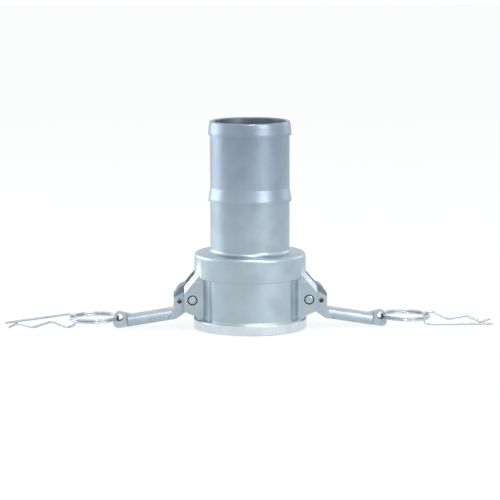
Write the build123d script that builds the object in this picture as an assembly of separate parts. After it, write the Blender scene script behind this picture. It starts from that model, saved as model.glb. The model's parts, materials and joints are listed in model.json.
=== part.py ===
from build123d import *
import math
import os

# Cam and groove coupling for a 76 mm hose, standing on its mouth with both cam arms open.
# The origin is the centre of the mouth's face. +Z runs up the hose tail and X runs along
# the arms. Everything is in millimetres.

# Socket that takes the grooved adapter, and the wall round it
socket_radius = 46.3
socket_depth = 50.5
socket_wall = 7.5
mouth_chamfer = 1.2

# Outside of the socket, from the mouth up: lip, slope, band, collar, shoulder
lip_step = 1.0
lip_height = 9.0
lip_slope = 3.0
lip_rounding = 0.8
band_height = 38.3
band_step = 0.7
collar_height = 23.5
collar_rounding = 4.0
shoulder_rise = 3.4

# Gasket and the groove that holds it at the bottom of the socket
gasket_thickness = 6.35
gasket_width = 9.2
gasket_lip = 1.1
gasket_side_clearance = 0.15
gasket_end_clearance = 0.25
throat_height = 6.0

# Hose tail with its two barbs
waterway_radius = 34.7
tail_wall = 3.5
tail_length = 126.5
barb_rise = 1.75
barb_length = 13.1
barb_land = 2.4
barb_spacing = 63.6
barb_count = 2
rim_rise = 0.6
rim_rounding = 1.5
rim_chamfer = 0.9

# Lugs that carry the pivot pins, in pairs on both sides of the socket
pin_radius = 4.2
pin_distance = 56.05
pin_height = 29.7
pin_clearance = 0.05
pin_end_chamfer = 0.55
lug_thickness = 9.5
lug_reach = 7.8
lug_shelf = 10.9
lug_foot_height = 14.3
lug_bevel_distance = 10.1
lug_bevel_run = 3.6
lug_bevel_depth = 7.5
lug_edge_angle = 50.5
recess_depth = 3.3
recess_half_width = 39.6
recess_edge_run = 2.4
recess_ledge = 1.0

# Cam arm: hub and lobe between the lugs, neck, handle and eye
hub_half_width = 12.1
hub_clearance = 0.4
arm_bore_clearance = 0.1
hub_wall = 5.5
lobe_radius = 12.2
lobe_offset = 4.75
lobe_direction = 18.4
lobe_relief = 1.2
lobe_relief_height = 12.2
lobe_relief_angle = 31.3
window_clearance = 1.0
safety_hole_radius = 2.0
safety_hole_distance = 12.5
safety_hole_direction = -11.0
neck_corners = [(17.8, 4.0), (17.8, -8.5), (23.0, -19.8), (15.2, -19.1), (6.4, -13.0)]
neck_scoop_radius = 9.0
neck_scoop_place = (5.0, 8.5)
neck_scoop_cover = 0.6
handle_thickness = 10.4
handle_width = 21.0
handle_droop = 8.8
handle_start = 16.95
handle_drop = 15.6
handle_length = 46.5
eye_hole_radius = 3.65
eye_wall = 1.2
eye_rise = 5.1
eye_gap = 6.9
eye_tip_gap = 8.5
eye_half_width = 4.75
handle_end_bevel = 1.2

# Split ring through the eye: one wire wound twice
ring_wire_radius = 1.05
ring_radius = 23.0
ring_pitch = 2.0
ring_end_gap = 1.2
ring_end_angle = 24.0
ring_pull = 1.0
ring_sag = 0.6
seat_clearance = 0.35

# Safety clip hung on the ring: straight leg, loop and wavy leg
clip_wire_radius = 1.05
clip_loop_radius = 6.1
clip_leg_length = 61.5
clip_hump_share = 0.06
clip_waist_share = 0.275
clip_waist_height = 4.9
clip_belly_share = 0.575
clip_belly_height = 8.1
clip_pinch_share = 0.815
clip_pinch_height = 1.9
clip_tip_share = 0.955
clip_tip_height = 4.9
clip_bend_radius = 9.0
clip_pinch_radius = 5.0
# where the ring's wire lies in the loop, in degrees up from the straight leg's direction
clip_hang_right = 115.0
clip_hang_left = 120.0

# Worked out from the sizes above
collar_radius = socket_radius + socket_wall
lip_radius = collar_radius + lip_step
band_radius = collar_radius - band_step
recess_radius = collar_radius - recess_depth
band_bottom = lip_height + lip_slope
band_top = band_bottom + band_height
recess_floor = band_bottom - recess_ledge
collar_top = band_top + collar_height
tail_radius = waterway_radius + tail_wall
tail_top = collar_top + tail_length
groove_top = socket_depth + gasket_thickness + gasket_end_clearance
groove_radius = socket_radius + gasket_lip
gasket_radius = groove_radius - gasket_side_clearance
lug_gap = hub_half_width + hub_clearance
hub_radius = pin_radius + arm_bore_clearance + hub_wall
pivot = Vector(pin_distance, 0, pin_height)
edge_slope = math.radians(lug_edge_angle)
lug_rim_distance = lug_bevel_distance + lug_bevel_run
handle_slope = math.radians(handle_droop)


def turned(corners):
    """Solid turned about the vertical axis from corners of (radius, height, rounding)"""
    points = [(radius, 0, height) for radius, height, _ in corners]
    roundings = [rounding for _, _, rounding in corners]
    return revolve(make_face(FilletPolyline(*points, radius=roundings, close=True)), Axis.Z)


def slab(points, half_width):
    """Prism of an outline in the XZ plane, as thick on both sides of that plane"""
    outline = make_face(Polyline(*[(x, 0, z) for x, z in points], close=True))
    return extrude(outline, amount=half_width, dir=(0, 1, 0), both=True)


def cross_rod(radius, half_width, x, z):
    """Round rod along Y"""
    turn = Location((x, 0, z), (90, 0, 0))
    return turn * Cylinder(radius, 2 * half_width)


def from_pivot(distance, degrees):
    """Point in the XZ plane at a distance and direction from the right pivot"""
    angle = math.radians(degrees)
    return (pivot.X + distance * math.cos(angle), pivot.Z + distance * math.sin(angle))


def mirrored(solid):
    """The same piece on the left side"""
    return mirror(solid, Plane.YZ)


def body_outside():
    """Outer form of the casting: lip, band, collar, shoulder and barbed tail"""
    corners = [
        (0, 0, 0),
        (lip_radius, 0, lip_rounding),
        (lip_radius, lip_height, lip_rounding),
        (band_radius, band_bottom, 0),
        (band_radius, band_top, 0),
        (collar_radius, band_top, min(lip_rounding, 0.7 * band_step)),
        (collar_radius, collar_top, collar_rounding),
        (tail_radius, collar_top, shoulder_rise),
    ]
    for index in reversed(range(barb_count)):
        step = tail_top - barb_length - index * barb_spacing
        crest = tail_radius + barb_rise
        is_rim = index == 0
        end_radius = tail_radius + rim_rise if is_rim else tail_radius
        corners += [
            (tail_radius, step, 0),
            (crest, step, 0),
            (crest, step + barb_land, 0),
            (end_radius, step + barb_length, rim_rounding if is_rim else 0),
        ]
    corners.append((0, tail_top, 0))
    return turned(corners)


def body_inside():
    """Socket, gasket groove, throat and waterway"""
    seat_radius = gasket_radius - gasket_width
    throat_top = groove_top + throat_height
    return turned(
        [
            (0, 0, 0),
            (socket_radius + mouth_chamfer, 0, 0),
            (socket_radius, mouth_chamfer, 0),
            (socket_radius, socket_depth, 0),
            (groove_radius, socket_depth, 0),
            (groove_radius, groove_top, 0),
            (seat_radius, groove_top, 0),
            (waterway_radius, throat_top, 0),
            (waterway_radius, tail_top - rim_chamfer, 0),
            (waterway_radius + rim_chamfer, tail_top, 0),
            (0, tail_top, 0),
        ]
    )


def recess_cut():
    """Shallow pockets in the band on both sides of each lug pair"""
    height = band_top - recess_floor
    ring = Cylinder(2 * collar_radius, height) - Cylinder(recess_radius, height)
    # the raised band between the pockets is narrower at its face than at its foot
    foot_y = math.sqrt(recess_radius**2 - recess_half_width**2)
    face_x = recess_half_width - recess_edge_run
    face_y = math.sqrt(band_radius**2 - face_x**2)
    lean = recess_edge_run / (face_y - foot_y)
    far_x = face_x - lean * (2 * collar_radius - face_y)
    near_x = recess_half_width + lean * foot_y
    band = Polyline(
        (-near_x, 0),
        (-far_x, -2 * collar_radius),
        (far_x, -2 * collar_radius),
        (near_x, 0),
        (far_x, 2 * collar_radius),
        (-far_x, 2 * collar_radius),
        close=True,
    )
    bands = extrude(make_face(band), amount=height / 2, both=True)
    return Pos(0, 0, recess_floor + height / 2) * (ring - bands)


def lug_pair():
    """Two lugs beside the right arm, with a slanted and bevelled upper edge"""
    along = Vector(-math.cos(edge_slope), 0, math.sin(edge_slope))
    out = Vector(math.sin(edge_slope), 0, math.cos(edge_slope))
    end_x = pivot.X + lug_reach
    rim = pivot + out * lug_rim_distance
    root_x = socket_radius - lug_bevel_run
    top_z = rim.Z + (rim.X - root_x) * math.tan(edge_slope)
    end_z = rim.Z - (end_x - rim.X) * math.tan(edge_slope)
    shelf_z = pivot.Z - lug_shelf
    outline = [
        (root_x, top_z),
        (end_x, end_z),
        (end_x, shelf_z),
        (collar_radius, lug_foot_height),
        (collar_radius - recess_depth, recess_floor),
        (root_x, recess_floor),
    ]
    outer = lug_gap + lug_thickness
    pair = slab(outline, outer) - slab(outline, lug_gap)
    # the collar's height limits the lug's root, so nothing stands above its rounding
    pair &= Pos(0, 0, band_top / 2 + collar_height / 4) * Box(
        8 * collar_radius, 2 * outer, band_top + collar_height / 2
    )
    edge_plane = Plane(origin=pivot, x_dir=out, z_dir=along)
    for side in (-1, 1):
        wedge = make_face(
            Polyline(
                (lug_rim_distance, side * (outer - lug_bevel_depth)),
                (lug_bevel_distance, side * outer),
                (lug_rim_distance + lug_bevel_run, side * (outer + lug_bevel_depth)),
                (lug_rim_distance + lug_bevel_run, side * (outer - lug_bevel_depth)),
                close=True,
            )
        )
        pair -= extrude(edge_plane * wedge, amount=collar_radius, both=True)
    return pair


def window_cut():
    """Opening through the socket's wall that the cam lobe swings through"""
    reach = lobe_radius + lobe_offset + window_clearance
    bottom = pivot.Z - hub_radius - window_clearance
    top = pivot.Z + reach
    depth = 2 * socket_wall
    middle = socket_radius + depth / 2 - gasket_lip * 2
    return Pos(middle, 0, (bottom + top) / 2) * Box(depth, 2 * lug_gap, top - bottom)


def pin_hole():
    """Hole across both lugs with a small chamfer at each outer face"""
    outer = lug_gap + lug_thickness
    radius = pin_radius + pin_clearance
    hole = cross_rod(radius, outer, pivot.X, pivot.Z)
    for side in (-1, 1):
        mouth = Location((pivot.X, side * outer, pivot.Z), (side * 90, 0, 0))
        hole += mouth * Cone(
            radius + pin_end_chamfer,
            radius,
            pin_end_chamfer,
            align=(Align.CENTER, Align.CENTER, Align.MIN),
        )
    return hole


def make_body():
    """The casting, with lugs on both sides"""
    body = body_outside() - recess_cut()
    cuts = window_cut() + pin_hole()
    lugs = lug_pair()
    body = body + lugs + mirrored(lugs)
    return body - body_inside() - cuts - mirrored(cuts)


def make_gasket():
    """Flat gasket that rests against the top of its groove"""
    inner = gasket_radius - gasket_width
    bottom = groove_top - gasket_thickness
    return turned(
        [
            (inner, bottom, 0),
            (gasket_radius, bottom, 0),
            (gasket_radius, groove_top, 0),
            (inner, groove_top, 0),
        ]
    )


def make_pin():
    """Right pivot pin, flush with both lugs, with chamfered ends"""
    half = lug_gap + lug_thickness
    pin = cross_rod(pin_radius, half, pivot.X, pivot.Z)
    return chamfer(pin.edges().filter_by(GeomType.CIRCLE), pin_end_chamfer)


def handle_frame():
    """Plane whose X axis runs down the handle's middle line from its start"""
    start = (pivot.X + handle_start, 0, pivot.Z - handle_drop)
    x_dir = (math.cos(handle_slope), 0, -math.sin(handle_slope))
    return Plane(origin=start, x_dir=x_dir, z_dir=(0, -1, 0))


def eye_centre():
    """Centre of the hole at the handle's far end"""
    return handle_frame().from_local_coords(Vector(handle_length + eye_gap, eye_rise, 0))


def lobe_centre():
    """Centre of the lobe's round, off the pivot"""
    return from_pivot(lobe_offset, lobe_direction)


def make_neck():
    """Hub, cam lobe and neck as one plate between the lugs"""
    middle_x, middle_z = lobe_centre()
    lobe = cross_rod(lobe_radius, hub_half_width, middle_x, middle_z)
    hub = cross_rod(hub_radius, hub_half_width, pivot.X, pivot.Z)
    corners = [(pivot.X + x, pivot.Z + z) for x, z in neck_corners]
    neck = slab([from_pivot(hub_radius, 90), *corners, from_pivot(hub_radius, -90)], hub_half_width)
    # rounded shoulders on both sides of the handle, cut from the neck's outer corner
    foot_x, foot_z = corners[2]
    scoop_x, scoop_z = foot_x + neck_scoop_place[0], foot_z + neck_scoop_place[1]
    scoop = cross_rod(neck_scoop_radius, 2 * hub_half_width, scoop_x, scoop_z)
    scoop -= cross_rod(neck_scoop_radius, handle_width / 2 - neck_scoop_cover, scoop_x, scoop_z)
    return hub + lobe + (neck - scoop)


def lobe_relief_cut():
    """Thin step that sets both sides of the lobe back from the neck's faces"""
    slope = math.radians(lobe_relief_angle)
    reach = 2 * lobe_radius
    left_x, right_x, above = pivot.X - reach, pivot.X + reach, pivot.Z + 3 * reach
    middle_z, rise = pivot.Z + lobe_relief_height, reach * math.tan(slope)
    region = [(left_x, middle_z + rise), (right_x, middle_z - rise), (right_x, above), (left_x, above)]
    return slab(region, hub_half_width) - slab(region, hub_half_width - lobe_relief)


def make_handle():
    """Oval bar from inside the neck to the eye, and the narrower eye at its end"""
    local = handle_frame()
    section = Plane(origin=local.origin, x_dir=(0, 1, 0), z_dir=local.x_dir)
    bar = extrude(section * SlotOverall(handle_width, handle_thickness), amount=handle_length)
    bar = chamfer(bar.faces().sort_by(Axis.X)[-1].edges(), handle_end_bevel)
    eye = eye_centre()
    eye_round = eye_hole_radius + eye_wall
    tip = local.from_local_coords(Vector(handle_length + eye_tip_gap, 0, 0))
    half_bar = handle_thickness / 2
    inside = handle_length - half_bar
    root = [local.from_local_coords(Vector(inside, side * half_bar, 0)) for side in (-1, 1)]
    wedge = Polyline(*[(corner.X, corner.Z) for corner in root], (tip.X, tip.Z), close=True)
    rounds = Pos(eye.X, eye.Z) * Circle(eye_round) + Pos(tip.X, tip.Z) * Circle(half_bar)
    outline = Plane.XZ * make_hull((rounds + make_face(wedge)).edges())
    return bar + extrude(outline, amount=eye_half_width, dir=(0, 1, 0), both=True)


def make_arm():
    """Right cam arm with its bore, safety hole and eye hole"""
    eye = eye_centre()
    hole_x, hole_z = from_pivot(safety_hole_distance, safety_hole_direction)
    through = 2 * hub_half_width
    arm = make_neck() - lobe_relief_cut() + make_handle()
    arm -= cross_rod(pin_radius + arm_bore_clearance, through, pivot.X, pivot.Z)
    arm -= cross_rod(safety_hole_radius, through, hole_x, hole_z)
    return arm - cross_rod(eye_hole_radius, through, eye.X, eye.Z)


def clip_path():
    """Middle line of the clip's wire: straight leg, loop, hump, waist, belly, pinch and tip"""
    loop = 2 * clip_loop_radius
    leg = clip_leg_length
    points = [
        (leg, 0),
        (-clip_loop_radius, 0),
        (-clip_loop_radius, loop),
        (leg * clip_hump_share, loop),
        (leg * clip_waist_share, clip_waist_height),
        (leg * clip_belly_share, clip_belly_height),
        (leg * clip_pinch_share, clip_pinch_height),
        (leg * clip_tip_share, clip_tip_height),
    ]
    # two quarter turns make the loop, so each is a hair under its radius
    round_loop = clip_loop_radius * 0.999
    radii = [round_loop, round_loop, *[clip_bend_radius] * 3, clip_pinch_radius]
    return FilletPolyline(*[(u, 0, v) for u, v in points], radius=radii)


def clip_wire():
    """Clip with its straight leg along X and the loop round the origin"""
    path = clip_path()
    start = Plane(origin=path @ 0, z_dir=path % 0)
    wire = sweep(start * Circle(clip_wire_radius), path=path)
    return Pos(0, 0, -clip_loop_radius) * wire


def ring_near_point():
    """Middle of the ring's section inside the eye, low in the hole and drawn outwards"""
    eye = eye_centre()
    return Vector(eye.X + ring_pull, 0, eye.Z - ring_sag)


def make_ring(far_height):
    """Split ring through the eye, sloping from the eye to its far wire"""
    section = Plane.XZ * (
        Pos(ring_radius, ring_pitch / 2) * Circle(ring_wire_radius)
        + Pos(ring_radius, -ring_pitch / 2) * Circle(ring_wire_radius)
    )
    ring = revolve(section, Axis.Z)
    height = ring_pitch / 2 + ring_wire_radius
    for layer in (-1, 1):
        # each end of the wire stops at a slit in its own turn
        slit = Pos(ring_radius, 0, layer * height / 2 + layer * ring_wire_radius / 2) * Box(
            4 * ring_wire_radius, ring_end_gap, height
        )
        ring -= Rot(0, 0, 90 + layer * ring_end_angle / 2) * slit
    near = ring_near_point()
    tilt = math.degrees(math.asin((near.Z - far_height) / (2 * ring_radius)))
    return Location((near.X, 0, near.Z), (0, tilt, 0)) * Pos(ring_radius, 0, 0) * ring


def ring_far_point(far_height):
    """Middle of the ring's far section, where the clip hangs"""
    near = ring_near_point()
    drop = near.Z - far_height
    return Vector(near.X + math.sqrt((2 * ring_radius) ** 2 - drop**2), 0, far_height)


def turned_over_clip():
    """The same clip on its other side, resting on its hump and its tip"""
    reach = clip_leg_length * (clip_tip_share - clip_hump_share)
    lean = math.degrees(math.atan((2 * clip_loop_radius - clip_tip_height) / reach))
    return Rot(0, lean, 0) * Rot(180, 0, 0) * clip_wire()


def hung(clip, direction):
    """Clip set down with its loop round the ring's far wire, and the height of that wire"""
    stack = ring_pitch / 2 + ring_wire_radius
    reach = clip_loop_radius - clip_wire_radius - stack - seat_clearance
    inwards = reach * math.cos(math.radians(direction))
    loop_height = -clip.bounding_box().min.Z
    wire_height = loop_height + reach * math.sin(math.radians(direction))
    far = ring_far_point(wire_height)
    return Pos(far.X - inwards, 0, loop_height) * clip, wire_height


def build():
    """Every piece by its name"""
    right_clip, right_height = hung(clip_wire(), clip_hang_right)
    left_clip, left_height = hung(turned_over_clip(), clip_hang_left)
    arm = make_arm()
    pin = make_pin()
    return {
        "coupler_body": make_body(),
        "gasket": make_gasket(),
        "pivot_pin_right": pin,
        "pivot_pin_left": mirrored(pin),
        "cam_arm_right": arm,
        "cam_arm_left": mirrored(arm),
        "finger_ring_right": make_ring(right_height),
        "finger_ring_left": mirrored(make_ring(left_height)),
        "safety_clip_right": right_clip,
        "safety_clip_left": mirrored(left_clip),
    }


os.makedirs("parts", exist_ok=True)
for name, solid in build().items():
    export_step(solid, f"parts/{name}.step")

# places of the hinges
print("pivot", pivot, "ring in the eye", ring_near_point())
print("right clip on its ring", ring_far_point(hung(clip_wire(), clip_hang_right)[1]))
print("left clip on its ring", ring_far_point(hung(turned_over_clip(), clip_hang_left)[1]))
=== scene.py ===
import json
import math

import bmesh
import bpy
from mathutils import Matrix, Vector

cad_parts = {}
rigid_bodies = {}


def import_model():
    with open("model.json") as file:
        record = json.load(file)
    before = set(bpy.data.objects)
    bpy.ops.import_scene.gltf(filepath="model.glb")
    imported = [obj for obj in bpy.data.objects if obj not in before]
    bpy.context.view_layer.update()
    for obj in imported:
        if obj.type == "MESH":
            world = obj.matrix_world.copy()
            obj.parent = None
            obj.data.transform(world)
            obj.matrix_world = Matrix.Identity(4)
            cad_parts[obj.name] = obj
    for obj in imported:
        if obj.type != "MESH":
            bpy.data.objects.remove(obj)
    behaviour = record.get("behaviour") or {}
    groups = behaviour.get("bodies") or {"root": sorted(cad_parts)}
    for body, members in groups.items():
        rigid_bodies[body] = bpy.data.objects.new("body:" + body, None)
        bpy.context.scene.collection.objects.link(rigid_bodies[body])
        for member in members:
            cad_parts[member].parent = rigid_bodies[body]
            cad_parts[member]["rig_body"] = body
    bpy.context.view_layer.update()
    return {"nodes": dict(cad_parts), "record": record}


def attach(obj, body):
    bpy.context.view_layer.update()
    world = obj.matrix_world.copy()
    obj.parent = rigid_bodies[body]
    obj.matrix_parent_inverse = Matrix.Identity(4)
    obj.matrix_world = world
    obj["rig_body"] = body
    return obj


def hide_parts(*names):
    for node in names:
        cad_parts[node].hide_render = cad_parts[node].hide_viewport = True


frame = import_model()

mm = 0.001
bpy.context.scene.view_settings.view_transform = "Standard"
print("frame loaded:", len(frame["nodes"]), "nodes")

# the photograph's view
viewSettings = {
    "azimuth": -2.0,       # degrees, towards the left arm
    "cameraHeight": 0.44,
    "distance": 2.5,
    "aimHeight": 0.075,
    "fieldOfView": 10.91,  # degrees over the frame's width
    "roll": -0.1,          # degrees
    "farLimit": 50,
}

studio = {
    "floorSize": 6,
    "floorColour": (0.94, 0.95, 0.96, 1),
    "floorRoughness": 0.9,
    "floorSpecular": 0.1,
    "floorWhiteShare": 0.86,  # how much of the floor shows plain white in spite of shadows
    "worldColour": (0.93, 0.96, 1.0, 1),
    "worldLight": 0.8,
    "white": (1, 1, 1, 1),
    "whiteLight": 1.0,
}

# place, what it points at, size in metres, power in watts
lamps = {
    "leftBackLight": ((-1.45, 0.7, 0.42), (0, 0, 0.1), (1.3, 1.0), 11.0),
    "frontRightLight": ((1.05, -1.35, 0.75), (0, 0, 0.09), (0.7, 0.9), 9.0),
    "topFrontLight": ((0.15, -0.75, 1.6), (0, 0, 0.06), (0.4, 0.34), 9.0),
    "rightBackLight": ((1.4, 0.9, 0.6), (0, 0, 0.09), (0.9, 0.9), 3.0),
}


def linkObject(obj):
    bpy.context.scene.collection.objects.link(obj)
    return obj


def addCamera():
    data = bpy.data.cameras.new("photoCamera")
    camera = linkObject(bpy.data.objects.new("photoCamera", data))
    turn = math.radians(viewSettings["azimuth"])
    camera.location = (
        math.sin(turn) * viewSettings["distance"],
        -math.cos(turn) * viewSettings["distance"],
        viewSettings["cameraHeight"],
    )
    aim = Vector((0, 0, viewSettings["aimHeight"]))
    look = (aim - camera.location).to_track_quat("-Z", "Y")
    roll = Matrix.Rotation(math.radians(viewSettings["roll"]), 4, "Z")
    camera.matrix_world = Matrix.Translation(camera.location) @ look.to_matrix().to_4x4() @ roll
    data.lens = data.sensor_width / 2 / math.tan(math.radians(viewSettings["fieldOfView"] / 2))
    data.clip_end = viewSettings["farLimit"]
    bpy.context.scene.camera = camera


def addAreaLight(name, place, aim, size, power):
    data = bpy.data.lights.new(name, "AREA")
    data.shape = "RECTANGLE"
    data.size, data.size_y = size
    data.energy = power
    lamp = linkObject(bpy.data.objects.new(name, data))
    lamp.location = place
    lamp.rotation_euler = (Vector(aim) - Vector(place)).to_track_quat("-Z", "Y").to_euler()


# small helpers for node trees


def newMaterial(name):
    material = bpy.data.materials.new(name)
    material.use_nodes = True
    return material, material.node_tree, material.node_tree.nodes["Principled BSDF"]


def feed(tree, socket, value):
    if isinstance(value, bpy.types.NodeSocket):
        tree.links.new(value, socket)
    else:
        socket.default_value = value


def mathNode(tree, operation, *values):
    node = tree.nodes.new("ShaderNodeMath")
    node.operation = operation
    for socket, value in zip(node.inputs, values):
        feed(tree, socket, value)
    return node.outputs[0]


def add(tree, first, second):
    return mathNode(tree, "ADD", first, second)


def subtract(tree, first, second):
    return mathNode(tree, "SUBTRACT", first, second)


def multiply(tree, first, second):
    return mathNode(tree, "MULTIPLY", first, second)


def larger(tree, first, second):
    return mathNode(tree, "MAXIMUM", first, second)


def absolute(tree, value):
    return mathNode(tree, "ABSOLUTE", value)


def lengthOf(tree, first, second):
    squares = add(tree, multiply(tree, first, first), multiply(tree, second, second))
    return mathNode(tree, "SQRT", squares)


def remap(tree, value, fromLow, fromHigh, toLow=0.0, toHigh=1.0):
    node = tree.nodes.new("ShaderNodeMapRange")
    node.interpolation_type = "SMOOTHSTEP"
    settings = (value, fromLow, fromHigh, toLow, toHigh)
    for name, entry in zip(("Value", "From Min", "From Max", "To Min", "To Max"), settings):
        feed(tree, node.inputs[name], entry)
    return node.outputs[0]


def fadeOut(tree, value, start, end):
    return remap(tree, value, start, end, 1.0, 0.0)


def mixColours(tree, share, first, second, blend="MIX"):
    node = tree.nodes.new("ShaderNodeMix")
    node.data_type = "RGBA"
    node.blend_type = blend
    # the node's colour sockets, after those for numbers and vectors
    feed(tree, node.inputs[0], share)
    feed(tree, node.inputs[6], first)
    feed(tree, node.inputs[7], second)
    return node.outputs[2]


def greyOf(tree, value):
    node = tree.nodes.new("ShaderNodeCombineColor")
    for socket in node.inputs:
        feed(tree, socket, value)
    return node.outputs[0]


def shaded(tree, colour, shade):
    return mixColours(tree, 1.0, colour, greyOf(tree, shade), "MULTIPLY")


def noise(tree, vector, scale, detail=2.0, roughness=0.5):
    node = tree.nodes.new("ShaderNodeTexNoise")
    settings = {"Vector": vector, "Scale": scale, "Detail": detail, "Roughness": roughness}
    for name, value in settings.items():
        feed(tree, node.inputs[name], value)
    return node.outputs["Fac"]


def axes(tree, vector):
    node = tree.nodes.new("ShaderNodeSeparateXYZ")
    feed(tree, node.inputs[0], vector)
    return node.outputs


def objectPlace(tree):
    return tree.nodes.new("ShaderNodeTexCoord").outputs["Object"]


def feedBump(tree, shader, height, look):
    node = tree.nodes.new("ShaderNodeBump")
    node.inputs["Strength"].default_value = look["bumpStrength"]
    node.inputs["Distance"].default_value = look["bumpDistance"]
    feed(tree, node.inputs["Height"], height)
    feed(tree, shader.inputs["Normal"], node.outputs["Normal"])


def newGroup(name, inputs, outputs):
    group = bpy.data.node_groups.new(name, "ShaderNodeTree")
    for direction, sockets in (("INPUT", inputs), ("OUTPUT", outputs)):
        for socketName, kind in sockets:
            group.interface.new_socket(
                name=socketName, in_out=direction, socket_type="NodeSocket" + kind
            )
    given = group.nodes.new("NodeGroupInput").outputs
    result = group.nodes.new("NodeGroupOutput").inputs
    return group, given, result


def useGroup(tree, group, **values):
    node = tree.nodes.new("ShaderNodeGroup")
    node.node_tree = group
    for name, value in values.items():
        feed(tree, node.inputs[name], value)
    return node.outputs


# shared effects

grainSettings = {
    "fineDetail": 3.0,
    "fineRoughness": 0.6,
    "cloudLow": 0.3,
    "cloudHigh": 0.7,
    "pitScale": 0.35,  # share of the grain's scale
    "pitLow": 0.62,
    "pitHigh": 0.74,
    "pitDepth": 0.6,
}


def buildCastGrain():
    look = grainSettings
    group, given, result = newGroup(
        "castGrain",
        (("Place", "Vector"), ("Grain", "Float"), ("Cloud", "Float")),
        (("Mottle", "Float"), ("Height", "Float")),
    )
    place = given["Place"]
    fine = noise(group, place, given["Grain"], look["fineDetail"], look["fineRoughness"])
    cloud = noise(group, place, given["Cloud"])
    coarse = noise(group, place, multiply(group, given["Grain"], look["pitScale"]))
    pits = remap(group, coarse, look["pitLow"], look["pitHigh"])
    height = subtract(group, fine, multiply(group, pits, look["pitDepth"]))
    mottle = remap(group, cloud, look["cloudLow"], look["cloudHigh"])
    group.links.new(mottle, result["Mottle"])
    group.links.new(height, result["Height"])
    return group


markSettings = {
    "smudgeDetail": 3.0,
    "smudgeRoughness": 0.6,
    "smudgeLow": 0.45,
    "smudgeHigh": 0.7,
    "scratchTurn": (0.3, 0.5, 0.4),
    "scratchStretch": (1.0, 14.0, 9.0),
    "scratchScale": 2.0,  # times the smudges' scale
    "scratchDetail": 2.0,
    "scratchRoughness": 0.7,
    "scratchLow": 0.66,
    "scratchHigh": 0.72,
}


def buildFineMarks():
    look = markSettings
    group, given, result = newGroup(
        "fineMarks",
        (("Place", "Vector"), ("Scale", "Float")),
        (("Smudge", "Float"), ("Scratch", "Float")),
    )
    place, scale = given["Place"], given["Scale"]
    patches = noise(group, place, scale, look["smudgeDetail"], look["smudgeRoughness"])
    stretch = group.nodes.new("ShaderNodeMapping")
    feed(group, stretch.inputs["Vector"], place)
    stretch.inputs["Rotation"].default_value = look["scratchTurn"]
    stretch.inputs["Scale"].default_value = look["scratchStretch"]
    finer = multiply(group, scale, look["scratchScale"])
    lines = noise(group, stretch.outputs[0], finer, look["scratchDetail"], look["scratchRoughness"])
    smudge = remap(group, patches, look["smudgeLow"], look["smudgeHigh"])
    scratch = remap(group, lines, look["scratchLow"], look["scratchHigh"])
    group.links.new(smudge, result["Smudge"])
    group.links.new(scratch, result["Scratch"])
    return group


pinPlace = {"Across": 56.05 * mm, "Up": 29.7 * mm}
seatBlur = 0.25 * mm


# a ring round a pin or hole on both sides, and the distance from its axis
def buildPinSeat():
    group, given, result = newGroup(
        "pinSeat",
        (
            ("Place", "Vector"),
            ("Across", "Float"),
            ("Up", "Float"),
            ("Inner", "Float"),
            ("Outer", "Float"),
        ),
        (("Mask", "Float"), ("Distance", "Float")),
    )
    x, y, z = axes(group, given["Place"])
    across = subtract(group, absolute(group, x), given["Across"])
    up = subtract(group, z, given["Up"])
    distance = lengthOf(group, across, up)
    inside = remap(group, distance, subtract(group, given["Inner"], seatBlur), given["Inner"])
    outside = fadeOut(group, distance, given["Outer"], add(group, given["Outer"], seatBlur))
    group.links.new(multiply(group, inside, outside), result["Mask"])
    group.links.new(distance, result["Distance"])
    return group


castGrain = buildCastGrain()
fineMarks = buildFineMarks()
pinSeat = buildPinSeat()


def grainOf(tree, place, look):
    return useGroup(tree, castGrain, Place=place, Grain=look["grainScale"], Cloud=look["cloudScale"])


def marksOf(tree, place, look):
    return useGroup(tree, fineMarks, Place=place, Scale=look["marksScale"])


# a ring of painted shade round each pin's gap
def gapShadeOf(tree, place, look):
    inner, outer = look["gapShadeInner"], look["gapShadeOuter"]
    return useGroup(tree, pinSeat, Place=place, Inner=inner, Outer=outer, **pinPlace)


def between(tree, share, look, name):
    return remap(tree, share, 0.0, 1.0, look[name + "Low"], look[name + "High"])


# the casting

castingLook = {
    "bodyColour": (0.41, 0.495, 0.55, 1),
    "tailColour": (0.265, 0.325, 0.40, 1),
    "lipColour": (0.66, 0.72, 0.77, 1),
    # painted shade inside the bore
    "boreShadeColour": (0.24, 0.29, 0.34, 1),
    # painted shade for the gap round each pin
    "pinGapShadeColour": (0.008, 0.01, 0.012, 1),
    "tailStart": 45 * mm,                 # heights where the colour starts and ends its change
    "tailFull": 185 * mm,
    "lipTop": 9.3 * mm,
    "lipBlur": 0.2 * mm,
    "boreRadius": 35.2 * mm,
    "boreBlur": 0.2 * mm,
    "grainScale": 1500,
    "cloudScale": 45,
    "mottleLow": 0.95,
    "mottleHigh": 1.05,
    "roughLow": 0.36,
    "roughHigh": 0.44,
    "lipRoughness": 0.28,
    "gapShadeInner": 3.8 * mm,
    "gapShadeOuter": 4.75 * mm,
    "recessShadeColour": (0.10, 0.12, 0.135, 1),  # painted shade in the left recesses
    "recessShadeTop": 10.7 * mm,
    "recessShadeTopBlur": 0.3 * mm,
    "recessShadeFrom": 38.2 * mm,
    "recessShadeFromBlur": 0.4 * mm,
    "recessShadeRadius": 50.6 * mm,
    "recessShadeRadiusBlur": 0.2 * mm,
    "stepHeight": 47.3 * mm,              # a painted highlight along the collar's lower edge
    "stepInner": 0.25 * mm,
    "stepOuter": 0.7 * mm,
    "stepRadius": 53.4 * mm,
    "stepRadiusBlur": 0.3 * mm,
    "stepHighlightShare": 0.5,
    "turningLines": 5200,
    "turningDepth": 0.05,
    "bumpStrength": 0.35,
    "bumpDistance": 0.06 * mm,
}


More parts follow.
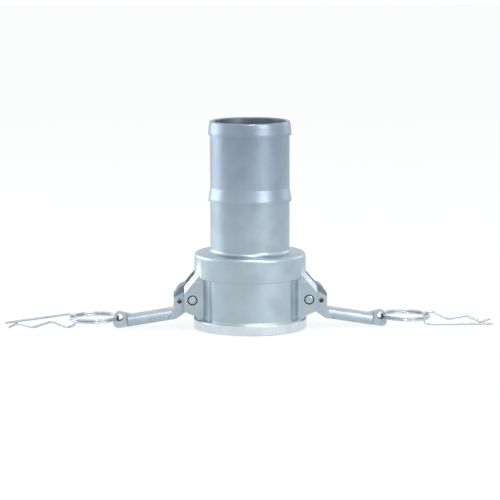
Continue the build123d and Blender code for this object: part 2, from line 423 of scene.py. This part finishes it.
# a painted highlight along the collar's lower edge
def paintedStepHighlight(tree, z, radius):
    look = castingLook
    offStep = absolute(tree, subtract(tree, z, look["stepHeight"]))
    line = fadeOut(tree, offStep, look["stepInner"], look["stepOuter"])
    outer = remap(tree, radius, look["stepRadius"], look["stepRadius"] + look["stepRadiusBlur"])
    return multiply(tree, multiply(tree, line, look["stepHighlightShare"]), outer)


# painted shade on the ledge in the left recesses
def paintedRecessShade(tree, x, z, radius, lip):
    look = castingLook
    left = fadeOut(tree, x, -look["recessShadeFrom"] - look["recessShadeFromBlur"], -look["recessShadeFrom"])
    low = fadeOut(tree, z, look["recessShadeTop"], look["recessShadeTop"] + look["recessShadeTopBlur"])
    inner = fadeOut(tree, radius, look["recessShadeRadius"], look["recessShadeRadius"] + look["recessShadeRadiusBlur"])
    above = subtract(tree, 1.0, lip)
    return multiply(tree, multiply(tree, left, low), multiply(tree, inner, above))


def castAluminium():
    look = castingLook
    material, tree, shader = newMaterial("castAluminium")
    place = objectPlace(tree)
    x, y, z = axes(tree, place)
    grain = grainOf(tree, place, look)
    gapShade = gapShadeOf(tree, place, look)
    radius = lengthOf(tree, x, y)
    lip = fadeOut(tree, z, look["lipTop"] - look["lipBlur"], look["lipTop"])
    # painted shade inside the bore
    boreShade = fadeOut(tree, radius, look["boreRadius"], look["boreRadius"] + look["boreBlur"])
    tail = remap(tree, z, look["tailStart"], look["tailFull"])
    colour = mixColours(tree, tail, look["bodyColour"], look["tailColour"])
    colour = mixColours(tree, lip, colour, look["lipColour"])
    colour = mixColours(tree, boreShade, colour, look["boreShadeColour"])
    colour = shaded(tree, colour, between(tree, grain["Mottle"], look, "mottle"))
    # painted highlight on the collar's lower edge
    colour = mixColours(tree, paintedStepHighlight(tree, z, radius), colour, look["lipColour"])
    # painted shade in the left recesses
    colour = mixColours(tree, paintedRecessShade(tree, x, z, radius, lip), colour, look["recessShadeColour"])
    # painted shade in the gap round each pin
    colour = mixColours(tree, gapShade["Mask"], colour, look["pinGapShadeColour"])
    feed(tree, shader.inputs["Base Color"], colour)
    feed(tree, shader.inputs["Metallic"], subtract(tree, 1.0, gapShade["Mask"]))
    rough = between(tree, grain["Mottle"], look, "rough")
    turned = multiply(tree, lip, look["lipRoughness"] - look["roughHigh"])
    feed(tree, shader.inputs["Roughness"], add(tree, rough, turned))
    # cast grain above the lip, fine turning lines on it
    lines = mathNode(tree, "SINE", multiply(tree, z, look["turningLines"]))
    cast = multiply(tree, grain["Height"], subtract(tree, 1.0, lip))
    turnedLines = multiply(tree, multiply(tree, lines, look["turningDepth"]), lip)
    feedBump(tree, shader, add(tree, cast, turnedLines), look)
    return material


# the cam arms

armLook = {
    "colour": (0.43, 0.51, 0.57, 1),
    "lobeShadeColour": (0.20, 0.24, 0.28, 1),  # painted shade on the lobe's face beside the lug
    "lobeLine": 12.2 * mm,                # its edge's height over the pin, and slope
    "lobeSlope": 0.608,
    "lobeEdgeLow": -0.05 * mm,
    "lobeEdgeHigh": 0.1 * mm,
    "lobeReach": 19 * mm,
    "lobeReachBlur": 0.5 * mm,
    # painted shade inside the small hole and the eye
    "holeShadeColour": (0.02, 0.024, 0.03, 1),
    "holeAcross": 68.32 * mm,
    "holeUp": 27.315 * mm,
    "holeRadius": 2.1 * mm,
    "eyeAcross": 126.55 * mm,
    "eyeUp": 10.97 * mm,
    "eyeRadius": 3.75 * mm,
    "barStart": 16.95 * mm,               # along X from the pin, then the bar's height and direction
    "barUp": 14.1 * mm,
    "barRun": 0.9882,
    "barFall": 0.153,
    "barEnd": 46.1 * mm,                  # a painted shade line where the handle's bar ends at the eye
    "barLineInner": 0.3 * mm,
    "barLineOuter": 0.7 * mm,
    "barLineShare": 0.45,
    "smudgeColour": (0.31, 0.37, 0.42, 1),
    "smudgeShare": 0.35,
    "grainScale": 2200,
    "cloudScale": 80,
    "mottleLow": 0.94,
    "mottleHigh": 1.06,
    "marksScale": 120,
    "roughLow": 0.42,
    "roughHigh": 0.52,
    "scratchDepth": 0.5,
    "bumpStrength": 0.25,
    "bumpDistance": 0.05 * mm,
}


# painted shade over the lobe's face
def lobeShadeRegion(tree, across, z):
    look = armLook
    rise = add(
        tree,
        subtract(tree, z, pinPlace["Up"] + look["lobeLine"]),
        multiply(tree, across, look["lobeSlope"]),
    )
    near = fadeOut(tree, across, look["lobeReach"], look["lobeReach"] + look["lobeReachBlur"])
    return multiply(tree, near, remap(tree, rise, look["lobeEdgeLow"], look["lobeEdgeHigh"]))


# painted shade inside a hole
def holeShade(tree, place, name):
    look = armLook
    return useGroup(
        tree, pinSeat, Place=place, Inner=0.0,
        Across=look[name + "Across"], Up=look[name + "Up"], Outer=look[name + "Radius"],
    )["Mask"]


# a painted shade line where the bar meets the eye
def barEndShade(tree, across, z):
    look = armLook
    along = subtract(
        tree,
        multiply(tree, subtract(tree, across, look["barStart"]), look["barRun"]),
        multiply(tree, subtract(tree, z, look["barUp"]), look["barFall"]),
    )
    off = absolute(tree, subtract(tree, along, look["barEnd"]))
    line = fadeOut(tree, off, look["barLineInner"], look["barLineOuter"])
    return multiply(tree, line, look["barLineShare"])


def castArmMetal():
    look = armLook
    material, tree, shader = newMaterial("polishedCasting")
    place = objectPlace(tree)
    grain = grainOf(tree, place, look)
    marks = marksOf(tree, place, look)
    colour = shaded(tree, look["colour"], between(tree, grain["Mottle"], look, "mottle"))
    share = multiply(tree, marks["Smudge"], look["smudgeShare"])
    colour = mixColours(tree, share, colour, look["smudgeColour"])
    x, y, z = axes(tree, place)
    across = subtract(tree, absolute(tree, x), pinPlace["Across"])
    # painted shade on the lobe
    colour = mixColours(tree, lobeShadeRegion(tree, across, z), colour, look["lobeShadeColour"])
    # painted shade in the holes and along the bar's end
    holeShades = larger(tree, holeShade(tree, place, "hole"), holeShade(tree, place, "eye"))
    paintedShade = larger(tree, holeShades, barEndShade(tree, across, z))
    colour = mixColours(tree, paintedShade, colour, look["holeShadeColour"])
    feed(tree, shader.inputs["Base Color"], colour)
    feed(tree, shader.inputs["Metallic"], subtract(tree, 1.0, paintedShade))
    feed(tree, shader.inputs["Roughness"], between(tree, marks["Smudge"], look, "rough"))
    scratches = multiply(tree, marks["Scratch"], look["scratchDepth"])
    feedBump(tree, shader, subtract(tree, grain["Height"], scratches), look)
    return material


# the pivot pins

pinLook = {
    "colour": (0.46, 0.52, 0.56, 1),
    "shadeLow": 0.9,
    "shadeHigh": 1.05,
    # painted shade round the pin's gap
    "pinGapShadeColour": (0.008, 0.01, 0.012, 1),
    "gapShadeInner": 3.8 * mm,
    "gapShadeOuter": 9 * mm,
    "ringLines": 16000,
    "roughLow": 0.3,
    "roughHigh": 0.42,
    "marksScale": 300,
    "bumpStrength": 0.3,
    "bumpDistance": 0.03 * mm,
}


def pinSteel():
    look = pinLook
    material, tree, shader = newMaterial("turnedSteel")
    place = objectPlace(tree)
    gapShade = gapShadeOf(tree, place, look)
    marks = marksOf(tree, place, look)
    colour = shaded(tree, look["colour"], between(tree, marks["Smudge"], look, "shade"))
    # painted shade in the gap round the pin
    colour = mixColours(tree, gapShade["Mask"], colour, look["pinGapShadeColour"])
    feed(tree, shader.inputs["Base Color"], colour)
    feed(tree, shader.inputs["Metallic"], subtract(tree, 1.0, gapShade["Mask"]))
    feed(tree, shader.inputs["Roughness"], between(tree, marks["Smudge"], look, "rough"))
    lines = mathNode(tree, "SINE", multiply(tree, gapShade["Distance"], look["ringLines"]))
    feedBump(tree, shader, lines, look)
    return material


# the rings and clips

wireLook = {
    "colour": (0.50, 0.56, 0.61, 1),
    "dullColour": (0.34, 0.385, 0.43, 1),
    "dullShare": 0.6,
    "roughLow": 0.28,
    "roughHigh": 0.4,
    "marksScale": 220,
    "bumpStrength": 0.15,
    "bumpDistance": 0.02 * mm,
}


def brightWire():
    look = wireLook
    material, tree, shader = newMaterial("brightWire")
    marks = marksOf(tree, objectPlace(tree), look)
    dull = multiply(tree, marks["Smudge"], look["dullShare"])
    colour = mixColours(tree, dull, look["colour"], look["dullColour"])
    feed(tree, shader.inputs["Base Color"], colour)
    shader.inputs["Metallic"].default_value = 1.0
    feed(tree, shader.inputs["Roughness"], between(tree, marks["Smudge"], look, "rough"))
    feedBump(tree, shader, marks["Scratch"], look)
    return material


# the gasket

sealLook = {
    "colour": (0.018, 0.018, 0.02, 1),
    "dustColour": (0.06, 0.06, 0.058, 1),
    "roughLow": 0.5,
    "roughHigh": 0.75,
    "grainScale": 2600,
    "cloudScale": 70,
    "bumpStrength": 0.4,
    "bumpDistance": 0.05 * mm,
}


def sealRubber():
    look = sealLook
    material, tree, shader = newMaterial("sealRubber")
    grain = grainOf(tree, objectPlace(tree), look)
    colour = mixColours(tree, grain["Mottle"], look["colour"], look["dustColour"])
    feed(tree, shader.inputs["Base Color"], colour)
    feed(tree, shader.inputs["Roughness"], between(tree, grain["Mottle"], look, "rough"))
    feedBump(tree, shader, grain["Height"], look)
    return material


# floor and background


def seenDirectly(tree):
    path = tree.nodes.new("ShaderNodeLightPath").outputs
    straight = larger(tree, path["Is Camera Ray"], path["Is Glossy Ray"])
    return larger(tree, straight, path["Is Transmission Ray"])


def mixShaders(tree, share, first, second, output):
    mix = tree.nodes.new("ShaderNodeMixShader")
    tree.links.new(share, mix.inputs["Fac"])
    tree.links.new(first, mix.inputs[1])
    tree.links.new(second, mix.inputs[2])
    tree.links.new(mix.outputs[0], tree.nodes[output].inputs["Surface"])


def addFloor():
    mesh = bmesh.new()
    bmesh.ops.create_grid(mesh, x_segments=1, y_segments=1, size=studio["floorSize"])
    data = bpy.data.meshes.new("floor")
    mesh.to_mesh(data)
    mesh.free()
    floor = linkObject(bpy.data.objects.new("floor", data))
    material, tree, shader = newMaterial("paperFloor")
    shader.inputs["Base Color"].default_value = studio["floorColour"]
    shader.inputs["Roughness"].default_value = studio["floorRoughness"]
    shader.inputs["Specular IOR Level"].default_value = studio["floorSpecular"]
    white = tree.nodes.new("ShaderNodeEmission")
    white.inputs["Strength"].default_value = studio["whiteLight"]
    share = multiply(tree, seenDirectly(tree), studio["floorWhiteShare"])
    mixShaders(tree, share, shader.outputs[0], white.outputs[0], "Material Output")
    data.materials.append(material)


def lightWorld():
    world = bpy.data.worlds.new("studio")
    bpy.context.scene.world = world
    world.use_nodes = True
    tree = world.node_tree
    back = tree.nodes["Background"]
    back.inputs["Color"].default_value = studio["worldColour"]
    back.inputs["Strength"].default_value = studio["worldLight"]
    white = tree.nodes.new("ShaderNodeBackground")
    white.inputs["Color"].default_value = studio["white"]
    white.inputs["Strength"].default_value = studio["whiteLight"]
    mixShaders(tree, seenDirectly(tree), back.outputs[0], white.outputs[0], "World Output")


# the pieces: copies of the CAD solids with merged corners, the arms with rounded edges

meshFinish = {
    "mergeDistance": 0.002 * mm,
    "sharpAngle": 12,   # degrees
    "flatFaceWeight": 90,
    "flatFaces": ("coupler", "cam_arm"),
    "roundedNodes": ("cam_arm_left", "cam_arm_right"),
    "roundWidth": 0.45 * mm,
    "roundSegments": 2,
    "roundAngle": 35,   # degrees
}


def finishedCopy(node, name):
    source = frame["nodes"][node]
    mesh = bmesh.new()
    mesh.from_mesh(source.data)
    bmesh.ops.remove_doubles(mesh, verts=mesh.verts, dist=meshFinish["mergeDistance"])
    data = bpy.data.meshes.new(name)
    mesh.to_mesh(data)
    mesh.free()
    piece = linkObject(bpy.data.objects.new(name, data))
    data.polygons.foreach_set("use_smooth", [True] * len(data.polygons))
    data.set_sharp_from_angle(angle=math.radians(meshFinish["sharpAngle"]))
    if node in meshFinish["roundedNodes"]:
        bevel = piece.modifiers.new("edgeRounding", "BEVEL")
        bevel.width = meshFinish["roundWidth"]
        bevel.segments = meshFinish["roundSegments"]
        bevel.limit_method = "ANGLE"
        bevel.angle_limit = math.radians(meshFinish["roundAngle"])
        bevel.use_clamp_overlap = True
    if node.startswith(meshFinish["flatFaces"]):
        weights = piece.modifiers.new("flatFaces", "WEIGHTED_NORMAL")
        weights.keep_sharp = True
        weights.weight = meshFinish["flatFaceWeight"]
    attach(piece, source["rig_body"])
    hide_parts(node)
    return piece


materials = {
    "casting": castAluminium(),
    "arm": castArmMetal(),
    "pin": pinSteel(),
    "wire": brightWire(),
    "seal": sealRubber(),
}
print("materials made:", ", ".join(materials))

for part in frame["record"]["subparts"]:
    piece = finishedCopy(part["node"], part["node"] + "Look")
    piece.data.materials.append(materials[part["material_slot"]])

addCamera()
lightWorld()
addFloor()
for name, (place, aim, size, power) in lamps.items():
    addAreaLight(name, place, aim, size, power)
print("camera, floor and lamps set")
